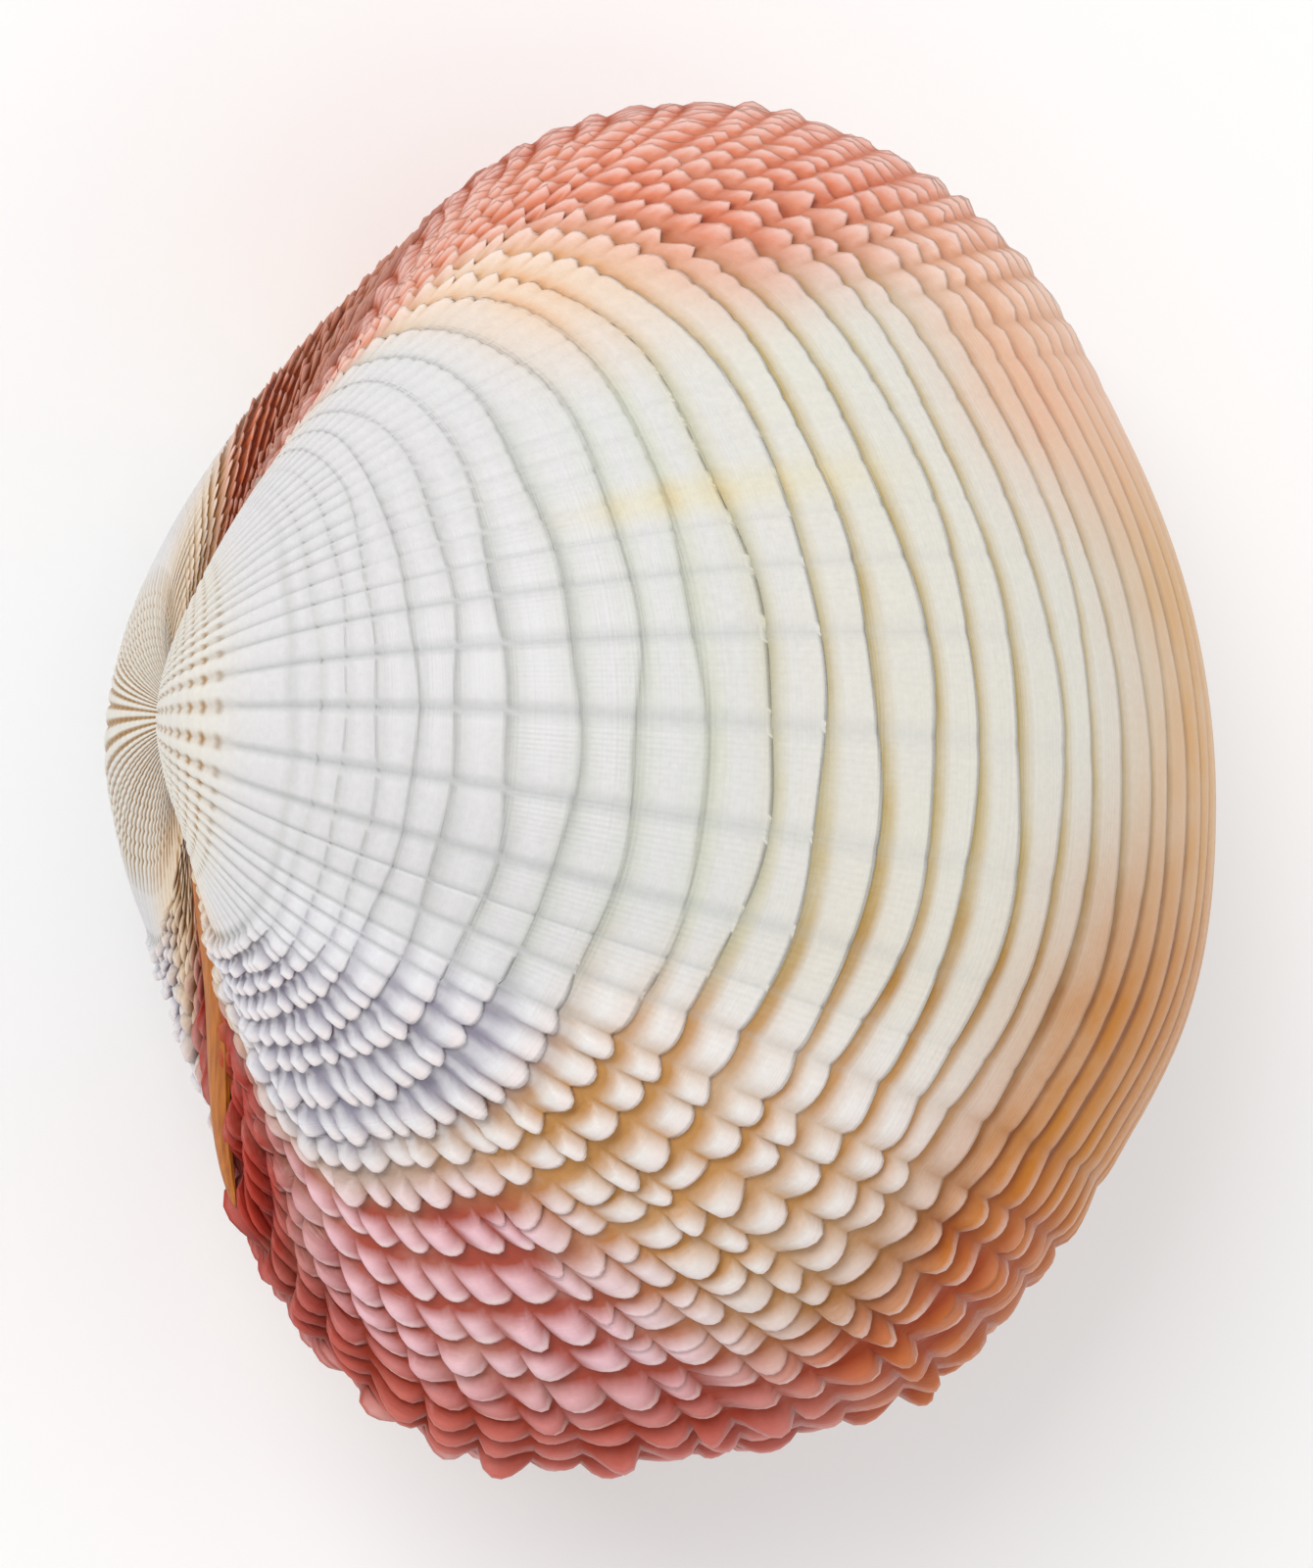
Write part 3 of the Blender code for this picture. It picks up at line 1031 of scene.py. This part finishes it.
    def outside(self, columns: Columns) -> tuple[np.ndarray, dict[str, np.ndarray], np.ndarray]:
        """Places and marks of the outside.

        Args:
            columns: the grid's columns.

        Returns:
            The places, the marks by attribute name, and the turns, each with a row of the grid first.
        """
        edges = np.array(self.edges())
        widths = np.diff(edges, append=edges[-1] + self.banding.ring_width)
        scatter = self.scatter(len(edges), columns.ribs.max() + 1)
        bounds = edges[:, None] - self.lip_shifts(columns, scatter, edges, widths)
        places, turns, marks = [], [], []
        for band, step, under in self.outer_rows():
            row = self.row(columns, scatter, edges[band], (band, step, under))
            turn = bounds[band + 1] + (bounds[band] - bounds[band + 1]) * step
            if under:
                cut = self.undercut_middle.at(row.age) + self.undercut_scaly * row.scaly
                turn = turn + widths[band] * cut * row.real
            young = band >= self.bands()
            relief = self.sculpture.young(row) if young else self.sculpture.grown(row)
            relief = relief * columns.fade * np.sqrt(self.growth.size(turn))
            away = self.growth.outward(columns.angles, turn)
            if band == 0 and step == 1.0:
                away[:, 2] = 0.0
                relief *= self.edge_relief
            places.append(self.growth.point(columns.angles, turn) + away * relief[:, None])
            turns.append(turn)
            marks.append(self.staining.marks(row, young))
        grids = {name: np.array([found[name] for found in marks]) for name in marks[0]}
        return np.array(places), grids, np.array(turns)

    def bowl(self, angles: np.ndarray) -> np.ndarray:
        """Places of the rim and the inside, from the rim to the deepest place.

        Args:
            angles: angle of each column.

        Returns:
            The places, with a row of the grid first.
        """
        rim = self.growth.point(angles, np.zeros_like(angles))
        middle = np.array([self.growth.middle_out - self.bowl_shift, self.growth.middle_along, 0.0])
        inward = middle - rim
        inner = rim + inward / np.linalg.norm(inward, axis=-1, keepdims=True) * self.wall
        rows = []
        for index in range(self.bowl_rows + 1):
            sweep = index / self.bowl_rows * math.pi / 2.0
            place = middle + (inner - middle) * math.cos(sweep) ** self.bowl_lean
            place[:, 2] = self.bowl_depth * math.sin(sweep)
            rows.append(place)
        return np.array(rows)

    def lie_down(self, places: np.ndarray) -> np.ndarray:
        """Places of this valve where the pair lies, kept inside the box of the solids.

        Args:
            places: places in the valve frame.

        Returns:
            The places in the scene.
        """
        places[..., 2] = self.side.value * (places[..., 2] + JOIN_GAP / 2.0)
        rest = np.array(rest_matrix())
        places = places @ rest[:3, :3].T + rest[:3, 3]
        return np.clip(places, np.array(CAD_BOX[0]) + INSET, np.array(CAD_BOX[1]) - INSET)

    def build(self, material: bpy.types.Material) -> bpy.types.Object:
        """Make the valve's mesh, dress it and put it in place of its solid, which is hidden.

        Args:
            material: the shell's finish.

        Returns:
            The valve's object.
        """
        columns = self.ribbing.columns()
        outer, marks, turns = self.outside(columns)
        outer[0] = outer[0].mean(axis=0)
        inner = self.bowl(columns.angles)
        bare = np.zeros(inner.shape[:2])
        places = self.lie_down(np.concatenate([outer, inner]))
        angle_grid = np.broadcast_to(columns.angles, places.shape[:2])
        turn_grid = np.concatenate([turns, bare])
        marks = {name: np.concatenate([strength, bare]) for name, strength in marks.items()}
        for zone in ZONES:
            marks[zone.name] = zone.weight(angle_grid, turn_grid)
        mesh, row, column = grid_mesh(self.name, places)
        for name, strength in marks.items():
            layer = mesh.attributes.new(name, "FLOAT", "POINT")
            layer.data.foreach_set("value", strength[row, column].astype(np.float32))
        corners = np.zeros(len(mesh.loops), dtype=np.int32)
        mesh.loops.foreach_get("vertex_index", corners)
        growth_map = np.stack([angle_grid[row, column] / math.tau, turn_grid[row, column] / math.pi], -1)
        uv = mesh.uv_layers.new(name="growth")
        uv.uv.foreach_set("vector", growth_map[corners].ravel().astype(np.float32))
        shape = bmesh.new()
        shape.from_mesh(mesh)
        close_mesh(shape, mesh)
        return finish_piece(self.name, mesh, material)


@dataclass
class Ligament:
    """Horny band that ties the valves behind the beaks."""

    name: str = "ligament"
    growth: Growth = Growth()
    start: float = 187.0 * DEG
    end: float = 221.0 * DEG
    half_width: float = 1.2 * MM
    thickness: float = 1.2 * MM
    sides: int = 64
    fibres: int = 9
    fibre_depth: float = 0.07

    def build(self, material: bpy.types.Material) -> bpy.types.Object:
        """Draw a ball out along the edge behind the beaks, with fibres along it.

        Args:
            material: the ligament's finish.

        Returns:
            The ligament's object.
        """
        shape = bmesh.new()
        bmesh.ops.create_uvsphere(shape, u_segments=self.sides, v_segments=self.sides, radius=1.0)
        places = np.array([vertex.co for vertex in shape.verts])
        across, up, along = places.T
        round_band = np.arctan2(up, across)
        wave = np.cos(self.fibres * round_band + 2.0 * np.sin(3.0 * along))
        ridge = 1.0 - self.fibre_depth * (0.5 + 0.5 * wave)
        across = across * ridge
        up = up * ridge
        angle = self.start + (self.end - self.start) * (along + 1.0) / 2.0
        still = np.zeros_like(angle)
        edge = self.growth.point(angle, still)
        run = self.growth.point(angle + 0.01, still) - self.growth.point(angle - 0.01, still)
        away = np.cross(run, np.array([0.0, 0.0, 1.0]))
        away /= np.linalg.norm(away, axis=-1, keepdims=True)
        lift = JOIN_GAP + self.thickness / 2.0 * (1.0 + across)
        placed = edge + away * lift[:, None]
        placed[:, 2] += up * self.half_width
        rest = rest_matrix()
        for vertex, place in zip(shape.verts, placed):
            vertex.co = rest @ Vector(place)
        mesh = bpy.data.meshes.new(self.name)
        close_mesh(shape, mesh)
        return finish_piece(self.name, mesh, material)


def grid_mesh(name: str, places: np.ndarray) -> tuple[bpy.types.Mesh, np.ndarray, np.ndarray]:
    """Mesh of a grid whose points stand at the given places.

    Args:
        name: the mesh's name.
        places: the places by row and column.

    Returns:
        The mesh, and the row and the column of each of its points.
    """
    last_row = places.shape[0] - 1
    last_column = places.shape[1] - 1
    shape = bmesh.new()
    bmesh.ops.create_grid(shape, x_segments=last_column, y_segments=last_row, size=0.5)
    mesh = bpy.data.meshes.new(name)
    shape.to_mesh(mesh)
    shape.free()
    flat = np.zeros(len(mesh.vertices) * 3)
    mesh.vertices.foreach_get("co", flat)
    flat = flat.reshape(-1, 3)
    column = np.rint((flat[:, 0] + 0.5) * last_column).astype(int)
    row = np.rint((flat[:, 1] + 0.5) * last_row).astype(int)
    mesh.vertices.foreach_set("co", places[row, column].ravel())
    return mesh, row, column


def close_mesh(shape: bmesh.types.BMesh, mesh: bpy.types.Mesh) -> None:
    """Merge the points that meet, turn the faces outwards and write a smooth mesh.

    Args:
        shape: the finished shape, which is freed.
        mesh: the mesh that it is written to.
    """
    bmesh.ops.remove_doubles(shape, verts=shape.verts, dist=WELD)
    shape.normal_update()
    bmesh.ops.recalc_face_normals(shape, faces=shape.faces)
    shape.to_mesh(mesh)
    shape.free()
    mesh.shade_smooth()


def finish_piece(node: str, mesh: bpy.types.Mesh, material: bpy.types.Material) -> bpy.types.Object:
    """Object of a finished mesh, which stands for one of the solids.

    Args:
        node: the solid that it stands for, whose name it is given and which is hidden.
        mesh: the mesh, in its place.
        material: its finish.

    Returns:
        The new object.
    """
    mesh.materials.append(material)
    piece = bpy.data.objects.new(node + "_grown", mesh)
    bpy.context.scene.collection.objects.link(piece)
    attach(piece, BODY)
    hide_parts(node)
    LOG.info("%s: %d faces", piece.name, len(mesh.polygons))
    return piece


@dataclass(frozen=True)
class SoftLight:
    """One square soft light that faces the shell."""

    name: str
    at: tuple[float, float, float]
    size: float
    watts: float
    aim_height: float = 0.025

    def build(self) -> None:
        """Hang the light."""
        lamp = bpy.data.lights.new(self.name, "AREA")
        lamp.shape = "SQUARE"
        lamp.size = self.size
        lamp.energy = self.watts
        holder = bpy.data.objects.new(self.name, lamp)
        aim = Vector(self.at) - Vector((0.0, 0.0, self.aim_height))
        holder.matrix_world = Matrix.Translation(self.at) @ aim.to_track_quat("Z", "Y").to_matrix().to_4x4()
        bpy.context.scene.collection.objects.link(holder)


@dataclass
class Studio:
    """Pale floor, soft lights and the camera, which looks down on the right valve."""

    floor_half: float = 1.5
    tilt_to_hinge: float = 20.90 * DEG
    tilt_along: float = -3.88 * DEG
    roll: float = 1.98 * DEG
    right_of_beaks: float = 24.52 * MM
    below_beaks: float = 2.98 * MM
    distance: float = 258.1 * MM
    sensor: float = 36.0
    lens: float = 112.5
    shift_down: float = -0.00625
    sky: float = 0.74
    lights: tuple[SoftLight, ...] = (
        SoftLight("key", (-0.40, 0.30, 0.58), 0.30, 2.3),
        SoftLight("fill", (0.45, -0.15, 0.45), 0.6, 0.3))

    def axes(self) -> tuple[Vector, Vector, Vector]:
        """The camera's right, up and back directions in the valve frame.

        Returns:
            The three directions.
        """
        across = Vector((math.cos(self.tilt_to_hinge), 0.0, math.sin(self.tilt_to_hinge)))
        back = Vector((-math.sin(self.tilt_to_hinge), 0.0, math.cos(self.tilt_to_hinge)))
        up = Vector((0.0, 1.0, 0.0))
        back, up = (back * math.cos(self.tilt_along) + up * math.sin(self.tilt_along),
                    up * math.cos(self.tilt_along) - back * math.sin(self.tilt_along))
        across, up = (across * math.cos(self.roll) + up * math.sin(self.roll),
                      up * math.cos(self.roll) - across * math.sin(self.roll))
        return across, up, back

    def camera(self) -> None:
        """Stand the camera where the photo was taken from."""
        across, up, back = self.axes()
        lens = bpy.data.cameras.new("camera")
        lens.sensor_fit = "VERTICAL"
        lens.sensor_height = self.sensor
        lens.lens = self.lens
        lens.shift_y = self.shift_down
        lens.clip_start = 0.01
        holder = bpy.data.objects.new("camera", lens)
        turn = Matrix((across, up, back)).transposed().to_4x4()
        place = across * self.right_of_beaks - up * self.below_beaks + back * self.distance
        holder.matrix_world = rest_matrix() @ Matrix.Translation(place) @ turn
        bpy.context.scene.collection.objects.link(holder)
        bpy.context.scene.camera = holder

    def floor(self) -> None:
        """Lay the pale floor under the shell."""
        shape = bmesh.new()
        bmesh.ops.create_grid(shape, x_segments=1, y_segments=1, size=self.floor_half)
        mesh = bpy.data.meshes.new("floor")
        shape.to_mesh(mesh)
        shape.free()
        mesh.materials.append(MattBoard().build())
        board = bpy.data.objects.new("floor", mesh)
        bpy.context.scene.collection.objects.link(board)

    def build(self) -> None:
        """Set the floor, the lights and the camera."""
        scene = bpy.context.scene
        scene.view_settings.view_transform = "Standard"
        world = bpy.data.worlds.new("studio")
        world.use_nodes = True
        background = world.node_tree.nodes["Background"]
        background.inputs["Color"].default_value = (1.0, 1.0, 1.0, 1.0)
        background.inputs["Strength"].default_value = self.sky
        scene.world = world
        self.floor()
        for light in self.lights:
            light.build()
        self.camera()


def main() -> None:
    """Grow both valves, tie them with the ligament and set up the studio."""
    logging.basicConfig(level=logging.INFO, format="%(message)s")
    Studio().build()
    shell = AragoniteShell().build()
    Valve("right_valve", Side.RIGHT, seed=11).build(shell)
    Valve("left_valve", Side.LEFT, seed=23, staining=Staining(ring=0.8)).build(shell)
    Ligament().build(DriedConchiolin().build())


if __name__ == "__main__":
    main()
